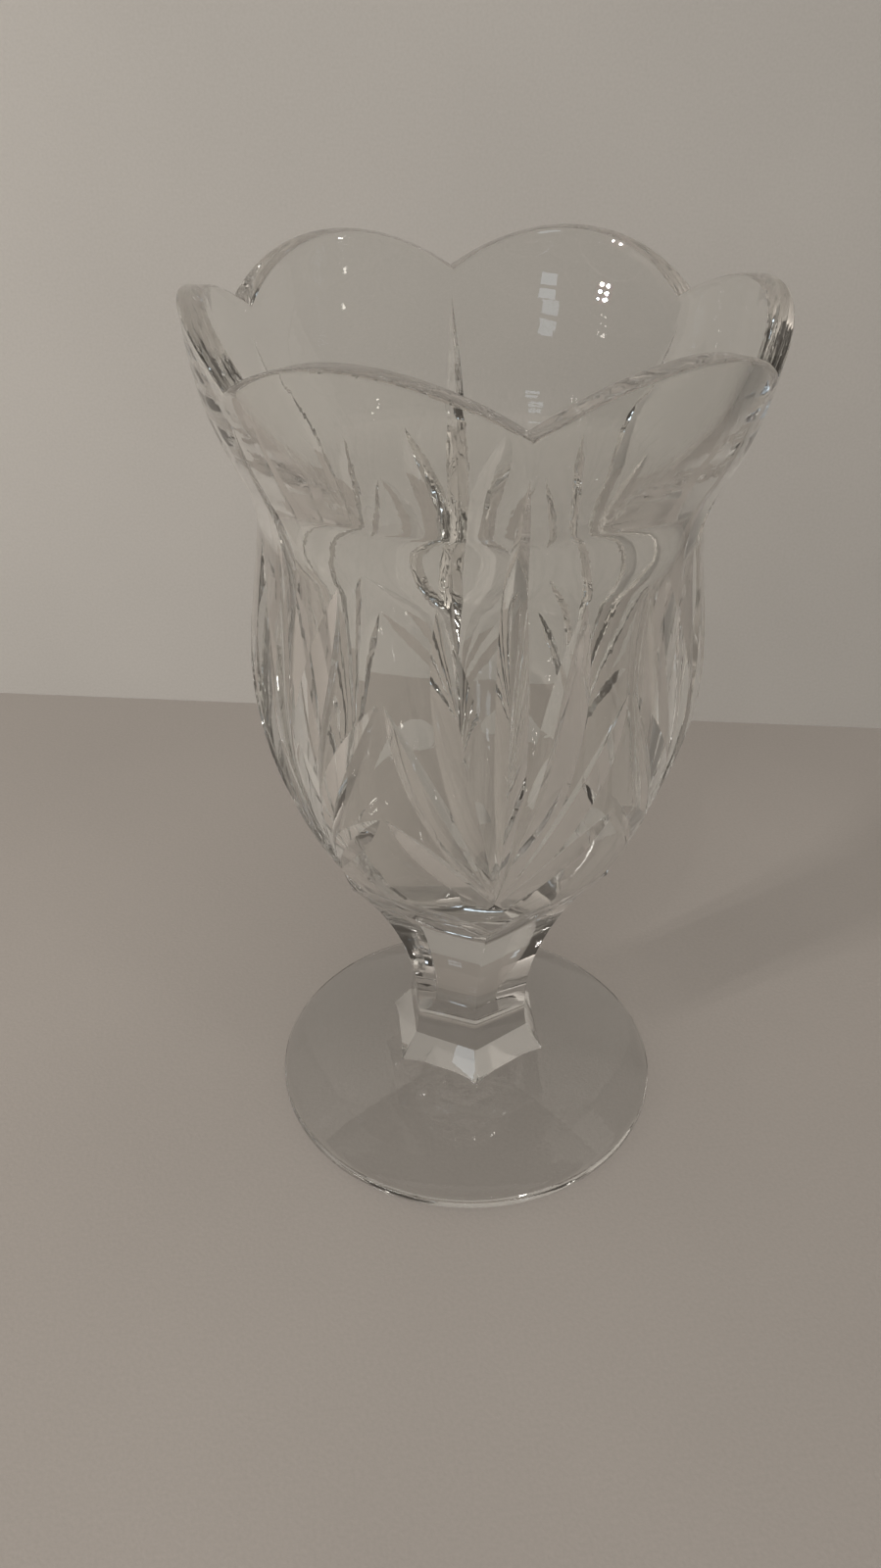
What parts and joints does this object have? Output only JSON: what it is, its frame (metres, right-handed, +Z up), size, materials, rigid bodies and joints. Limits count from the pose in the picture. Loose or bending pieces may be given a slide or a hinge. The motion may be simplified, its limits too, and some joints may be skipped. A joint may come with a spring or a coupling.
{
  "type": "tulip vase",
  "caption": "Footed tulip-shaped flower vase of clear cut crystal, with a petalled rim, fans of V-shaped cuts around the bowl and a fluted stem on a round domed foot.",
  "frame": {"origin": "centre of the foot's underside, on the surface that the vase stands on", "axes": "+Z up along the vase's axis; -Y points from the axis through the middle of one notch of the rim and the fan of cuts below it; +X completes the right-handed frame"},
  "size_m": [0.1392, 0.137, 0.25],
  "materials": {
    "crystal": "clear lead crystal, fire polished, with bright polished cuts"
  },
  "bodies": {
    "root": {"bowl": "crystal", "stem": "crystal", "foot": "crystal"}
  },
  "joints": []
}
